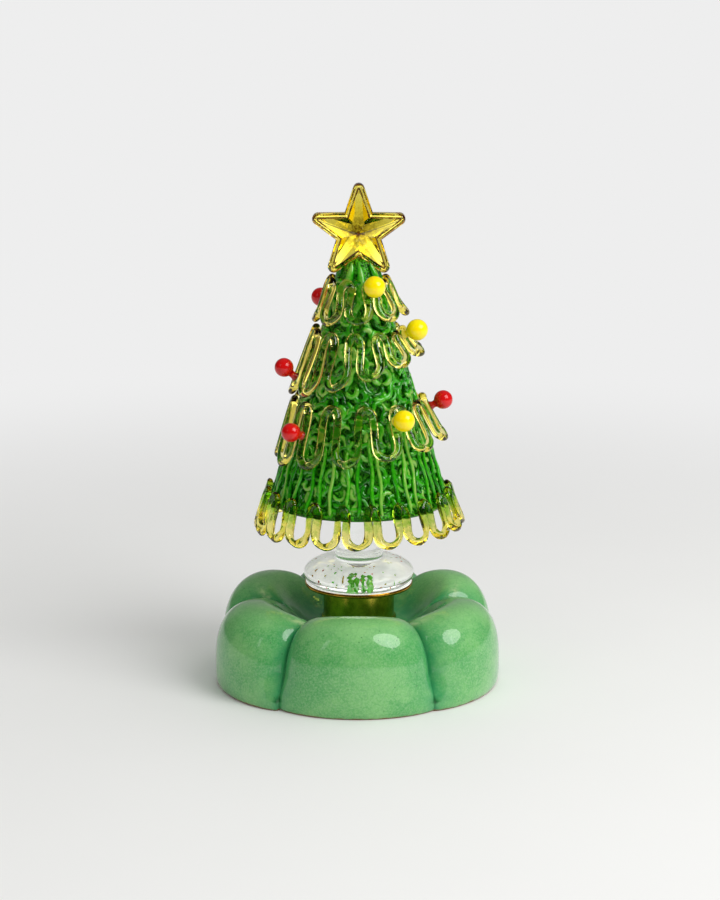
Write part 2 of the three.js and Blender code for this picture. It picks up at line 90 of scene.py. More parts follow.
def colour(code):
    """The linear colour of six hexadecimal digits, as a screen shows them."""
    parts = [int(code[i : i + 2], 16) / 255 for i in (0, 2, 4)]
    return (*[((v + 0.055) / 1.055) ** 2.4 if v > 0.04045 else v / 12.92 for v in parts], 1.0)


class Value:
    """What a node of a finish gives. Arithmetic on it adds Math nodes."""

    def __init__(self, finish, socket):
        self.finish = finish
        self.socket = socket

    def maths(self, operation, *others):
        return self.finish.node("Math", {"operation": operation}, dict(enumerate([self, *others])))

    def __add__(self, other):
        return self.maths("ADD", other)

    def __sub__(self, other):
        return self.maths("SUBTRACT", other)

    def __rsub__(self, other):
        return self.finish.node("Math", {"operation": "SUBTRACT"}, {0: other, 1: self})

    def __mul__(self, other):
        return self.maths("MULTIPLY", other)

    def __pow__(self, other):
        return self.maths("POWER", other)

    __radd__ = __add__
    __rmul__ = __mul__

    def between(self, low, high):
        """0 at low and 1 at high, eased."""
        settings = {"interpolation_type": "SMOOTHSTEP"}
        return self.finish.node("MapRange", settings, {0: self, 1: low, 2: high})


class Finish:
    """A material: one shader's fixed sockets, and the nodes that vary the others."""

    def __init__(self, owner, sockets, shader="Principled BSDF"):
        """The owner is a material's name, a material that is to be changed, or a world."""
        self.material = bpy.data.materials.new(owner) if isinstance(owner, str) else owner
        self.material.use_nodes = True
        self.tree = self.material.node_tree
        self.shader = self.tree.nodes[shader]
        self.fill(self.shader, sockets)

    def fill(self, node, sockets):
        """Sets each socket to its value, or links it to the node that gives it."""
        for name, value in sockets.items():
            if isinstance(value, Value):
                self.tree.links.new(value.socket, node.inputs[name])
            else:
                node.inputs[name].default_value = value

    def vary(self, **sockets):
        """Sets sockets of the shader, whose names are written with _ for a space."""
        self.fill(self.shader, {name.replace("_", " "): value for name, value in sockets.items()})

    def node(self, kind, settings=None, sockets=None, output=0):
        made = self.tree.nodes.new("ShaderNode" + kind)
        for name, value in (settings or {}).items():
            if name == "stops":
                elements = made.color_ramp.elements
                while len(elements) < len(value):
                    elements.new(0.5)
                for element, (place, code) in zip(elements, value):
                    element.position = place
                    element.color = colour(code)
            else:
                setattr(made, name, value)
        self.fill(made, sockets or {})
        return Value(self, made.outputs[output])

    def place(self, scale=1.0):
        """The place on the object in its own frame, in millimetres over scale."""
        spot = self.node("TexCoord", output=3)
        return self.node("VectorMath", {"operation": "SCALE"}, {0: spot, 3: 1 / (MM * scale)})

    def axis(self, vector, number):
        """A vector's part along X, Y or Z, as 0, 1 or 2."""
        return self.node("SeparateXYZ", {}, {0: vector}, number)

    def mark(self, name):
        """A number that the mesh carries at each of its points."""
        return self.node("Attribute", {"attribute_name": name}, {}, 2)

    def noise(self, size, detail=2.0, roughness=0.5, distortion=0.0):
        """Noise with blotches about size millimetres wide, from 0 to 1."""
        look = {"Detail": detail, "Roughness": roughness, "Distortion": distortion}
        return self.node("TexNoise", {}, {"Vector": self.place(size), "Scale": 1.0, **look})

    def cells(self, place, feature="F1"):
        """How far a place is from its cell's middle, or from its edge."""
        return self.node("TexVoronoi", {"feature": feature}, {"Vector": place, "Scale": 1.0})

    def mix(self, share, a, b):
        """Colour a where share is 0 and b where it is 1, each a code or what a node gives."""
        a, b = [colour(shade) if isinstance(shade, str) else shade for shade in (a, b)]
        return self.node("Mix", {"data_type": "RGBA"}, {0: share, 6: a, 7: b}, 2)

    def ramp(self, value, *stops):
        """The colour that a value has between stops, each a place and a colour's code."""
        return self.node("ValToRGB", {"stops": stops}, {0: value})

    def bump(self, height, depth):
        """Raises the surface by depth millimetres where height is 1."""
        sockets = {"Strength": 1.0, "Distance": depth * MM, "Height": height}
        self.vary(Normal=self.node("Bump", {}, sockets))

    def light_path(self, output):
        """What the renderer knows of the ray that meets the surface."""
        return self.node("LightPath", output=output)


def celadon_finish():
    """Crackled celadon glaze, deeper where it pools, with painted highlights towards the top and
    by sharp crests, and a bare foot.
    """
    fixed = {"Roughness": 0.4, "IOR": 1.5, "Specular IOR Level": 0.2, "Coat Roughness": 0.03}
    it = Finish("celadon", fixed)
    height = it.axis(it.place(), 2)
    pool, thin, drop = it.mark("pool"), it.mark("thin"), it.mark("drop")

    glaze = it.mix(it.noise(10, 3, 0.6).between(0.35, 0.65), "45a04f", "70b667")
    grain = it.noise(0.5, 2, 0.7).between(0.3, 0.75)
    glaze = it.mix(grain * 0.45, glaze, "9acb8e")
    # Painted reflection: the glaze is paler towards the top, where light from above is reflected.
    painted_top_light = height.between(17, 24)
    glaze = it.mix(painted_top_light * 0.5, glaze, "8dc87c")

    thick = it.noise(3, 2).between(0.2, 0.8) * 0.4 + 0.6
    glaze = it.mix((pool**1.3 * thick).between(0, 0.75), glaze, "2f9257")
    glaze = it.mix((pool**6 * thick).between(0.1, 0.8), glaze, "0f6a33")
    glaze = it.mix(drop.between(0.25, 0.7), glaze, "06602a")
    patchy = it.noise(1.5, 2).between(0.3, 0.6)
    # Painted highlight: pale patches by the sharp crests, where the glaze catches the light.
    glaze = it.mix(thin * patchy * 0.6, glaze, "cfe0a8")

    warp = it.node("TexNoise", {}, {"Vector": it.place(2.5), "Scale": 1.0}, 1)
    bent = it.node("VectorMath", {"operation": "ADD"}, {0: it.place(2.1), 1: warp})
    crackle = 1 - it.cells(bent, "DISTANCE_TO_EDGE").between(0.0, 0.075)
    glaze = it.mix(crackle * 0.2, glaze, "3f8a55")
    speck = 1 - it.cells(it.place(2.7)).between(0.05, 0.1)
    glaze = it.mix(speck * 0.55, glaze, "2f6a3c")

    bare = 1 - (height + it.noise(2.5) * 0.8).between(0.6, 0.95)
    it.vary(Base_Color=it.mix(bare, glaze, "8a6a4c"), Coat_Weight=1 - bare)
    it.bump(it.noise(2.2, 2) * 0.7 - crackle * 0.12, 0.06)
    return it.material


def metal_finish(name, bright, dull, roughness, patch_size):
    """Turned metal with faint tool rings and duller patches."""
    it = Finish(name, {"Metallic": 1.0})
    patch = it.noise(patch_size, 4, 0.65)
    ring_width = 0.12
    turned = {"W": it.axis(it.place(ring_width), 2), "Scale": 1.0, "Detail": 1.0}
    rings = it.node("TexNoise", {"noise_dimensions": "1D"}, turned)
    shade = it.mix(patch.between(0.35, 0.7), bright, dull)
    it.vary(Base_Color=shade, Roughness=roughness + patch * roughness * 0.8)
    it.bump(rings * 0.6 + patch * 0.4, 0.006)
    return it.material


def rubber_finish():
    """Dull black rubber with a fine grain."""
    it = Finish("rubber", {"IOR": 1.45})
    grain = it.noise(0.3, 3, 0.7)
    it.vary(Base_Color=it.mix(grain, "1d1d1e", "353536"), Roughness=grain * 0.2 + 0.7)
    it.bump(grain, 0.03)
    return it.material


def glass_finish(name, tint, density, ripple=None, roughness=0.0, sheen=(1, 1, 1)):
    """Glass that takes its colour from its thickness, by a tint and how strongly it tints. A
    ripple has the width and the depth of its waves."""
    fixed = {"Base Color": (1, 1, 1, 1), "Roughness": roughness, "IOR": 1.5}
    fixed |= {"Transmission Weight": 1.0, "Specular Tint": (*sheen, 1)}
    it = Finish(name, fixed)
    absorb = it.tree.nodes.new("ShaderNodeVolumeAbsorption")
    it.fill(absorb, {"Color": (*tint, 1), "Density": density})
    it.tree.links.new(absorb.outputs[0], it.tree.nodes["Material Output"].inputs["Volume"])
    if ripple:
        size, depth = ripple
        it.bump(it.noise(size, 2), depth)
    return it.material


def green_finish():
    """Green glass whose rods were drawn from lighter and darker cane, clear over cloudy, with
    painted light along each rod's outer side and painted shade down its flanks.
    """
    glass = glass_finish("green_glass", (0.05, 0.95, 0.0), 200)
    it = Finish(glass, {"Transmission Weight": 0.52, "Coat Weight": 0.45, "Coat Roughness": 0.0})
    streak = it.noise(1.2, 2, 0.5, 0.8) - 0.5
    # The cane mark carries painted light and shade across each rod as well as its cane.
    shade = it.mark("cane") + streak * 0.7
    stops = [(0.0, "0a5203"), (0.25, "22a80a"), (0.65, "4ee018"), (1.0, "b8f86c")]
    it.vary(Base_Color=it.ramp(shade, *stops))
    return glass


def core_finish():
    """The thick green glass under the rods, clouded by the many seams in it and kept deep, a
    painted shade for the gaps between the rods.
    """
    glass = glass_finish("core_glass", (0.1, 0.95, 0.0), 200, None, 0.15, (0.6, 1, 0.5))
    it = Finish(glass, {"Transmission Weight": 0.4})
    seam = it.noise(1.6, 3, 0.55, 2.2)
    # Deep greens: painted shade that shows in the gaps between the rods.
    body = it.mix(seam.between(0.42, 0.62), "0c5c06", "58d420")
    cloud = it.noise(6, 2).between(0.5, 0.75)
    it.vary(Base_Color=it.mix(cloud * 0.4, body, "0b4a04"))
    it.bump(seam, 0.3)
    return glass


def star_finish():
    """Gold glass with painted shade along its seam and centre, for refraction's dark lines, and
    darker tips.
    """
    glass = glass_finish("star_glass", (0.985, 0.92, 0.0), 460, (2.2, 0.02))
    it = Finish(glass, {})
    uneven = it.noise(1.1, 2).between(0.25, 0.6) * 0.6 + 0.4
    burn = (it.mark("burn") * uneven).between(0.1, 0.8)
    it.vary(Base_Color=it.mix(burn, "fffdf0", "3a1604"))
    return glass


def loop_finish(name, tint, density, ripple_depth):
    """Yellow rod with green painted in where it is fused to the tree, for the tree seen through it.
    """
    glass = glass_finish(name, tint, density, (1.3, ripple_depth))
    it = Finish(glass, {})
    streak = it.noise(1.6, 2, 0.5, 1.0) - 0.5
    painted_green_share = (it.mark("fused") + streak * 1.2).between(0.25, 0.8)
    it.vary(Base_Color=it.mix(painted_green_share * 0.9, "fffbe0", "86cc50"))
    return glass


def cement_with_painted_glow_finish():
    """Pale cement under the glass foot, with a painted glow for the light that the foot gathers."""
    it = Finish("cement_with_painted_glow", {"Roughness": 0.35, "IOR": 1.5, "Emission Strength": 0.5})
    cloud = it.mix(it.noise(3, 3).between(0.3, 0.7), "dfe2dd", "f8f8f5")
    # Painted glow: the cement's colours feed its emission as well as its base colour.
    it.vary(Base_Color=cloud, Emission_Color=cloud)
    it.bump(it.noise(1.5, 2), 0.02)
    return it.material


def fleck_finish():
    """Chips of red, orange, green and gold glass, mottled."""
    it = Finish("fleck_glass", {"Roughness": 0.3, "IOR": 1.5, "Coat Weight": 1.0})
    tone = it.mark("tone") + it.noise(0.3, 2) * 0.1
    stops = [(0.0, "c0281c"), (0.35, "e8922e"), (0.65, "58d82a"), (0.95, "d8b02a")]
    it.vary(Base_Color=it.ramp(tone, *stops))
    return it.material


def bead_finish(name, shade, deep, neck):
    """Opaque glossy glass, a little deeper in places and stained where its neck was drawn out."""
    fixed = {"Roughness": 0.3, "IOR": 1.5, "Specular IOR Level": 0.05}
    it = Finish(name, {**fixed, "Coat Weight": 1.0, "Coat Roughness": 0.02})
    body = it.mix(it.noise(1.8, 3, 0.55, 0.6).between(0.35, 0.75), shade, deep)
    it.vary(Base_Color=it.mix(it.mark("neck").between(0.25, 1), body, neck))
    it.bump(it.noise(2.5, 1), 0.01)
    return it.material


celadon = celadon_finish()
# The collar's brass is olive, partly a painted reflection of the green base around it.
brass = metal_finish("brass", "d6bf48", "9a942c", 0.16, 3)
rim_brass = metal_finish("rim_brass", "d9a33a", "9a6a1c", 0.14, 2)
steel = metal_finish("steel", "bfc3c7", "8d9196", 0.28, 1.5)
rubber = rubber_finish()
clear_glass = glass_finish("clear_glass", (0.9, 1.0, 0.95), 6, (4, 0.03))
green_glass = green_finish()
core_glass = core_finish()
yellow_glass = loop_finish("yellow_glass", (0.985, 0.91, 0.0), 330, 0.03)
hem_glass = loop_finish("hem_glass", (0.99, 0.92, 0.0), 700, 0.08)
star_glass = star_finish()
cement_with_painted_glow = cement_with_painted_glow_finish()
fleck_glass = fleck_finish()
red_bead = bead_finish("red_bead", "d60d0d", "c00a0c", "8f2a0e")
yellow_bead = bead_finish("yellow_bead", "ffe900", "ffdc00", "f6e25a")


# Meshes


def made(name, points, faces, material, body, replaced, slot, marks=None):
    """A smooth mesh of points in millimetres that rides on a body and stands for CAD nodes."""
    mesh = bpy.data.meshes.new(name)
    mesh.from_pydata((np.asarray(points) * MM).tolist(), [], faces)
    mesh.validate()
    mesh.polygons.foreach_set("use_smooth", [True] * len(mesh.polygons))
    for key, values in (marks or {}).items():
        carried = mesh.attributes.new(key, "FLOAT", "POINT")
        carried.data.foreach_set("value", np.asarray(values, np.float32))
    mesh.materials.append(material)
    mesh.update()
    piece = bpy.data.objects.new(name, mesh)
    bpy.context.scene.collection.objects.link(piece)
    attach(piece, body)
    if replaced:
        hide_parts(*replaced)
    return piece


def grid_faces(rows, columns, close_rows=True):
    """Quads between rows of points, each row a closed ring. The last row may join the first."""
    faces = []
    for i in range(rows if close_rows else rows - 1):
        a = i * columns
        b = ((i + 1) % rows) * columns
        for j in range(columns):
            following = (j + 1) % columns
            faces.append((a + j, b + j, b + following, a + following))
    return faces


def flipped(faces):
    """Faces that look the other way."""
    return [(face[0], *face[:0:-1]) for face in faces]


def turns(segments):
    """Azimuths of even steps round a circle."""
    return np.linspace(0, 2 * math.pi, segments, endpoint=False)


def lathe(name, outline, material, body, replaced, slot):
    """A piece turned about Z from a closed outline of radius and height, going anticlockwise."""
    segments = 96
    points = [
        (r * math.cos(turn), r * math.sin(turn), z) for turn in turns(segments) for r, z in outline
    ]
    faces = grid_faces(segments, len(outline))
    return made(name, points, faces, material, body, replaced, slot)


def closed_lathe(name, outline, material, body, replaced, slot, segments=128):
    """A piece turned about Z from an outline that starts and ends on the axis, going up."""
    rings = outline[1:-1]
    points = [
        (r * math.cos(turn), r * math.sin(turn), z) for r, z in rings for turn in turns(segments)
    ]
    faces = flipped(grid_faces(len(rings), segments, False))
    bottom = len(points)
    points += [(0, 0, outline[0][1]), (0, 0, outline[-1][1])]
    last = (len(rings) - 1) * segments
    faces += [(bottom, (j + 1) % segments, j) for j in range(segments)]
    faces += [(bottom + 1, last + j, last + (j + 1) % segments) for j in range(segments)]
    return made(name, points, faces, material, body, replaced, slot)


def rounded(outline, radius, steps=4):
    """A closed outline with each corner cut to a small round."""
    outline = [np.asarray(p, float) for p in outline]
    result = []
    for i, corner in enumerate(outline):
        before = outline[i - 1] - corner
        after = outline[(i + 1) % len(outline)] - corner
        reach = min(radius, np.linalg.norm(before) * 0.45, np.linalg.norm(after) * 0.45)
        start = corner + before / np.linalg.norm(before) * reach
        end = corner + after / np.linalg.norm(after) * reach
        for t in np.linspace(0, 1, steps + 1):
            result.append((1 - t) ** 2 * start + 2 * t * (1 - t) * corner + t**2 * end)
    return result


def shoulder(start, end, squareness, steps):
    """Points between start and end on a quarter of a superellipse."""
    points = []
    for i in range(1, steps):
        turn = i / steps * math.pi / 2
        along = math.sin(turn) ** (2 / squareness)
        rise = math.cos(turn) ** (2 / squareness)
        r = start[0] + (end[0] - start[0]) * along
        points.append((r, end[1] + (start[1] - end[1]) * rise))
    return points


def eased_slope(start, end, steps):
    """Points between start and end on a slope that is level at both ends."""
    points = []
    for i in range(1, steps):
        share = i / steps
        ease = (1 - math.cos(math.pi * share)) / 2
        r = start[0] + (end[0] - start[0]) * share
        points.append((r, start[1] + (end[1] - start[1]) * ease))
    return points


# Ceramic base

LOBES = {
    "left front": {"half_angle": 29.5, "belly_radius": 39.4, "crest_height": 22.8},
    "front": {"half_angle": 34, "belly_radius": 37.8, "crest_height": 24.2},
    "right front": {"half_angle": 32, "belly_radius": 38.4, "crest_height": 22.8},
    "right rear": {"half_angle": 23, "belly_radius": 38.6, "crest_height": 24.2},
    "rear": {"half_angle": 37, "belly_radius": 38, "crest_height": 23.8},
    "left rear": {"half_angle": 24.5, "belly_radius": 39.2, "crest_height": 24.2},
}
FIRST_VALLEY = -184  # azimuth in degrees, before the left front lobe
LOBE_SEGMENTS = 36
LOBE_PROFILE = {"crest_radius": 27.5, "belly_height": 8, "tuck": 0.8, "squareness": 2.45}
VALLEY = {
    "crest_radius": 22,
    "crest_height": 18.9,
    "belly_radius": 32.6,
    "belly_height": 3.2,
    "tuck": 0,
    "squareness": 2.3,
}
TUCK_CURVE = [(0.62, 0.2), (0.3, 0.4), (0.09, 0.7)]  # shares of the tuck and the belly's height
FOOT_EDGE = 0.4  # how much the edges of the foot are rounded
CAVITY_CREST = (20.5, 16.2)
CAVITY_FOOT = (29, 0)
PLATFORM_THICKNESS = 3.5
MOUNT_HOLE = 3.8
WEB_SOFTNESS = 0.02  # rounds the bottom of the valleys
VALLEY_FILL = 0.62  # how far a valley's foot is filled out
VALLEY_FILL_TOP = 10
OUTER_FOOT = 30  # radius beyond which the foot is the outside of the ceramic
FINER_FIT = (0.99, 0.9955, 1)  # keeps the finer lobes inside the solid's box


def ceramic_section(bulge, lobe):
    """The ceramic's section, from 0 in a valley to 1 on a lobe's middle."""
    widest = {**LOBE_PROFILE, **lobe}
    mix = {key: VALLEY[key] + (widest[key] - VALLEY[key]) * bulge for key in VALLEY}
    platform_edge = (PLATFORM_RADIUS, PLATFORM_HEIGHT)
    crest = (mix["crest_radius"], mix["crest_height"])
    belly = (mix["belly_radius"], mix["belly_height"])
    tuck = mix["tuck"]
    ground = belly[0] - tuck
    underside = PLATFORM_HEIGHT - PLATFORM_THICKNESS
    cavity_floor = (PLATFORM_RADIUS + 1, underside)
    return [
        (MOUNT_HOLE, underside),
        cavity_floor,
        *eased_slope(cavity_floor, CAVITY_CREST, 6),
        CAVITY_CREST,
        *shoulder(CAVITY_CREST, CAVITY_FOOT, VALLEY["squareness"], 10),
        (CAVITY_FOOT[0], FOOT_EDGE),
        (CAVITY_FOOT[0] + FOOT_EDGE, 0),
        (ground - FOOT_EDGE - 0.1, 0),
        (ground - 0.05, FOOT_EDGE - 0.05),
        *[(belly[0] - tuck * drawn, belly[1] * height) for drawn, height in TUCK_CURVE],
        belly,
        *reversed(shoulder(crest, belly, mix["squareness"], 26)),
        crest,
        *eased_slope(crest, platform_edge, 16),
        platform_edge,
        (MOUNT_HOLE, PLATFORM_HEIGHT),
    ]


def filled_low(section, full):
    """Fills the foot of a valley out towards the lobes beside it, as thick glaze and clay do."""
    filled = []
    for (r, z), (full_r, full_z) in zip(section, full):
        share = VALLEY_FILL * ramped(z, VALLEY_FILL_TOP, 1) ** 1.6 if r > OUTER_FOOT else 0
        filled.append((r + (full_r - r) * share, z + (full_z - z) * share))
    return filled


def glaze_marks(r, z, bulge, crest_radius):
    """How far the glaze pools at a point of the section, how bright a painted highlight by a crest
    is there, and how far the glaze hangs as a drop at the foot of a valley."""
    in_recess = 0.75 * ramped(r, 24, 16) if z > 12 else 0
    in_valley = (1 - bulge) * (1 if r > 19 else 0.6)
    by_crest = bell(r, crest_radius + 1, 1.1) if z > 15 else 0
    thin = by_crest * bell(bulge, 0.4, 0.3)
    at_foot = bell(z, 3, 1.1) if r > OUTER_FOOT else 0
    return max(in_valley, in_recess), thin, at_foot * bell(bulge, 0, 0.4)


def ceramic_base():
    rows, marks = [], []
    azimuth = FIRST_VALLEY
    for lobe in LOBES.values():
        for i in range(LOBE_SEGMENTS):
            across = -math.cos(math.pi * i / LOBE_SEGMENTS)
            bulge = (1 - across**2) ** 0.5
            bulge = (bulge**2 + WEB_SOFTNESS * (1 - bulge) ** 2) ** 0.5
            turn = math.radians(azimuth + lobe["half_angle"] * (1 + across))
            section = filled_low(ceramic_section(bulge, lobe), ceramic_section(1, lobe))
            rows.append([(r * math.cos(turn), r * math.sin(turn), z) for r, z in section])
            crest_radius = max(section, key=lambda point: point[1])[0]
            marks += [glaze_marks(r, z, bulge, crest_radius) for r, z in section]
        azimuth += 2 * lobe["half_angle"]
    made(
        "glazed_base",
        np.reshape(rows, (-1, 3)) * FINER_FIT,
        grid_faces(len(rows), len(rows[0])),
        celadon,
        "base",
        ["ceramic_base_front", "ceramic_base_rear"],
        "celadon",
        dict(zip(("pool", "thin", "drop"), np.transpose(marks))),
    )


# Turned metal and clear glass


def collar():
    """The brass housing of the bearing, which shows as a collar with a bead at its foot."""
    clamp_bore = 2.05
    spigot_radius, spigot_length = 3.5, 3.2
    bead_radius, bead_height = 9.9, 1.8
    collar_radius = 9.3
    seat_radius = 8.05
    ledge_radius = 7
    outline = [
        (clamp_bore, GASKET_TOP - spigot_length),
        (spigot_radius, GASKET_TOP - spigot_length),
        (spigot_radius, GASKET_TOP),
        (bead_radius, GASKET_TOP),
        (bead_radius, GASKET_TOP + bead_height),
        (collar_radius, GASKET_TOP + bead_height + 0.5),
        (collar_radius, HOUSING_TOP),
        (seat_radius, HOUSING_TOP),
        (seat_radius, BEARING_BOTTOM),
        (ledge_radius, BEARING_BOTTOM),
        (ledge_radius, HOUSING_FLOOR),
        (clamp_bore, HOUSING_FLOOR),
    ]
    lathe("brass_collar", rounded(outline, 0.3), brass, "base", ["bearing_housing"], "brass")


def turntable():
    """The brass disc with a bright rim and the cement on top of it."""
    outline = [
        (BORE_RADIUS, TURNTABLE_BOTTOM),
        (TURNTABLE_RADIUS - 1.2, TURNTABLE_BOTTOM),
        (TURNTABLE_RADIUS - 0.24, TURNTABLE_BOTTOM + 0.35),
        (TURNTABLE_RADIUS, TURNTABLE_BOTTOM + 0.8),
        (TURNTABLE_RADIUS - 0.15, TURNTABLE_TOP),
        (BORE_RADIUS, TURNTABLE_TOP),
    ]
    outline = rounded(outline, 0.3)
    piece = lathe("brass_turntable", outline, rim_brass, "tree", ["turntable_disc"], "brass")
    piece.data.materials.append(cement_with_painted_glow)
    middle = (TURNTABLE_BOTTOM + TURNTABLE_TOP) / 2 * MM
    for face in piece.data.polygons:
        if face.normal.z > 0.99 and face.center.z > middle:
            face.material_index = 1


def glass_foot():
    """The lens-shaped foot and the stem on it, fused into one clear piece. The foot is sunk a
    little into the cement, because a gap of air under it would hide the cement."""
    bottom = TURNTABLE_TOP - 0.05
    neck = (STEM_RADIUS + 0.6, FOOT_TOP)
    belly = (FOOT_RADIUS, TURNTABLE_TOP + 2.5)
    under_belly = [(1.3, 0.15), (0.9, 0.5), (0.4, 1.1), (0.1, 1.8)]  # drawn in, and height
    outline = [
        (0, bottom),
        (FOOT_RADIUS - 1.6, bottom),
        *[(FOOT_RADIUS - drawn, TURNTABLE_TOP + height) for drawn, height in under_belly],
        belly,
        *reversed(shoulder(neck, belly, 2.0, 14)),
        neck,
        (STEM_RADIUS + 0.25, FOOT_TOP + 0.1),
        (STEM_RADIUS + 0.05, FOOT_TOP + 0.35),
        (STEM_RADIUS, FOOT_TOP + 0.8),
        (STEM_RADIUS, HEM - 1),
        (STEM_RADIUS - 0.1, HEM + 1),
        (4.7, HEM + 43),
        (4.0, HEM + 44.5),
        (0, HEM + 44.5),
    ]
    replaced = ["glass_foot", "glass_stem"]
    closed_lathe("glass_foot_and_stem", outline, clear_glass, "tree", replaced, "clear_glass")


CHIP_CORNERS = np.vstack([np.eye(3), -np.eye(3)])
CHIP_FACES = [(0, 1, 2), (1, 3, 2), (3, 4, 2), (4, 0, 2)]
CHIP_FACES += [(1, 0, 5), (3, 1, 5), (4, 3, 5), (0, 4, 5)]
SMALL_CHIPS = 90
GREEN_REFRACTION_CHIPS = 16
GREEN_TONE = 0.62


def foot_flecks():
    """Coloured chips melted into the glass foot, and larger green chips at its front as a painted
    refraction of the tree.
    """
    chips, tones = [], []
    for _ in range(SMALL_CHIPS):
        around = rng.uniform(0, 2 * math.pi)
        out = 12.6 * rng.uniform(0.02, 1) ** 0.5
        roof = 5.4 * (1 - (out / 14) ** 2) ** 0.5 - 0.5
        height = TURNTABLE_TOP + rng.uniform(0.35, roof)
        middle = np.array([out * math.cos(around), out * math.sin(around), height])
        size = rng.uniform(0.14, 0.38, 3) * [1, 1, 0.7]
        chips.append(middle + CHIP_CORNERS * size + rng.uniform(-0.04, 0.04, (6, 3)))
        tones.append(rng.uniform(0, 0.9))
    # Painted refraction: larger green chips stand in for the green tree seen through the foot.
    for _ in range(GREEN_REFRACTION_CHIPS):
        x, y = rng.uniform(-1, 1, 2) * [3.4, 1.6]
        middle = np.array([x, y - 8, TURNTABLE_TOP + rng.uniform(1.1, 1.8)])
        size = rng.uniform(0.4, 1.1, (6, 1)) * [1, 0.8, 0.5]
        chips.append(middle + CHIP_CORNERS * size)
        tones.append(GREEN_TONE)
    points = np.concatenate(chips)
    starts = range(0, len(points), len(CHIP_CORNERS))
    faces = [tuple(start + corner for corner in face) for start in starts for face in CHIP_FACES]
    marks = {"tone": np.repeat(tones, 6)}
    piece = made("foot_flecks", points, faces, fleck_glass, "tree", [], "clear_glass", marks)
    piece.data.polygons.foreach_set("use_smooth", [False] * len(faces))


# Woven green glass


def unit(vectors):
    return vectors / np.linalg.norm(vectors, axis=-1, keepdims=True)


def sweep(paths, thickness, sides, closed, twist=0.0):
    """Points and faces of rods of one number of points each, from their middles. A twist makes them
    a little flat and turns the flats along the rod."""
    flat_turn = 0.22  # radians from one point of a rod to the next
    if closed:
        along = unit(np.roll(paths, -1, 1) - np.roll(paths, 1, 1))
    else:
        along = unit(np.gradient(paths, axis=1))
    outward = unit(paths * [1, 1, 0])
    outward = unit(outward - along * np.sum(outward * along, 2, keepdims=True))
    across = np.cross(outward, along)
    around = 2 * math.pi * np.arange(sides) / sides
    ring = outward[:, :, None] * np.cos(around)[:, None]
    ring = ring + across[:, :, None] * np.sin(around)[:, None]
    rods, length = paths.shape[:2]
    flats = around[None] * 2 - np.arange(length)[:, None] * flat_turn
    thickness = thickness[:, :, None] * (1 + twist * (np.cos(flats) - 0.4))[None]
    points = paths[:, :, None] + ring * thickness[..., None]
    rod_faces = grid_faces(length, sides, closed)
    if not closed:
        rod_faces.append(tuple(range(sides)))
        rod_faces.append(tuple(reversed(range((length - 1) * sides, length * sides))))
    starts = [rod_number * length * sides for rod_number in range(rods)]
    faces = [tuple(start + i for i in face) for start in starts for face in rod_faces]
    return points.reshape(-1, 3), faces


def on_cone(around, above, lift):
    """Places for azimuths, heights above the hem and distances out of the tree's side."""
    radius = tree_radius(above) + lift
    return np.stack([radius * np.cos(around), radius * np.sin(around), above + HEM], -1)


ROD_END = [0.1, 0.55, 0.85, 1.0]


class Rods(NamedTuple):
    """Green rods of one number of points each: their middles, their radii and how light the cane of
    each is."""

    paths: np.ndarray
    thickness: np.ndarray
    canes: np.ndarray
    sides: int

    def chosen(self, which):
        return Rods(self.paths[which], self.thickness[which], self.canes[which], self.sides)

    def mesh(self):
        """Points and faces of rods with rounded ends, and each point's shade of cane with painted
        light and shade on it: light along the outer side of a rod and painted shade down its
        flanks."""
        thickness = self.thickness.copy()
        thickness[:, : len(ROD_END)] *= ROD_END
        thickness[:, -len(ROD_END) :] *= ROD_END[::-1]
        points, faces = sweep(self.paths, thickness, self.sides, False)
        # Painted light and shade: each rod is light on its outer side and dark down its flanks.
        outer = np.clip(np.cos(2 * math.pi * np.arange(self.sides) / self.sides), 0, 1)
        length = self.paths.shape[1]
        painted_shade_canes = self.canes[:, None, None] * np.tile(0.1 + 0.9 * outer, (length, 1))
        return points, faces, painted_shade_canes.ravel()

    def show(self, name, replaced):
        points, faces, painted_shade_canes = self.mesh()
        made(name, points, faces, green_glass, "tree", replaced, "green_glass", {"cane": painted_shade_canes})


def curled_rods():
    """Rods of glass bent into C and S shapes and laid over one another, row above row."""
    length = 17
    spacing = 3.2
    around, above = [], []
    for row_height in np.arange(1.2, TREE_HEIGHT - 6.5, 2.3):
        count = int(2 * math.pi * tree_radius(row_height) / spacing)
        places = np.arange(count) + rng.uniform(-0.4, 0.4, count)
        around.append(places * 2 * math.pi / count)
        above.append(row_height + rng.uniform(-0.9, 0.9, count))
    around = np.concatenate(around)[:, None]
    above = np.concatenate(above)[:, None]
    count = len(around)

    def pick(low, high):
        return rng.uniform(low, high, (count, 1))

    share = np.linspace(-0.5, 0.5, length)[None]
    step = pick(5, 10) / length
    bend = pick(0.45, 0.85) * np.where(pick(0, 1) < 0.5, 1, -1)
    bend = bend * np.where((share > 0) & (pick(0, 1) < 0.45), -1, 1)
    heading = pick(0, 2 * math.pi) + np.cumsum(bend * step, 1)
    x = np.cumsum(np.cos(heading), 1) * step
    y = np.cumsum(np.sin(heading), 1) * step
    x -= x.mean(1, keepdims=True)
    y = np.clip(above + y - y.mean(1, keepdims=True), 0.6, TREE_HEIGHT - 6)
    tube = pick(0.55, 0.92)
    lift = pick(-1.1, -0.7) + pick(-0.4, 0.4) * share
    behind_ribs = 0.35 * (y < 17)
    lift = np.clip(lift, tube - 1.9, 0.15 - tube) - behind_ribs
    paths = on_cone(around + x / tree_radius(above), y, lift)
    return Rods(paths, np.ones((count, length)) * tube, rng.uniform(0.15, 1.08, count), 10)


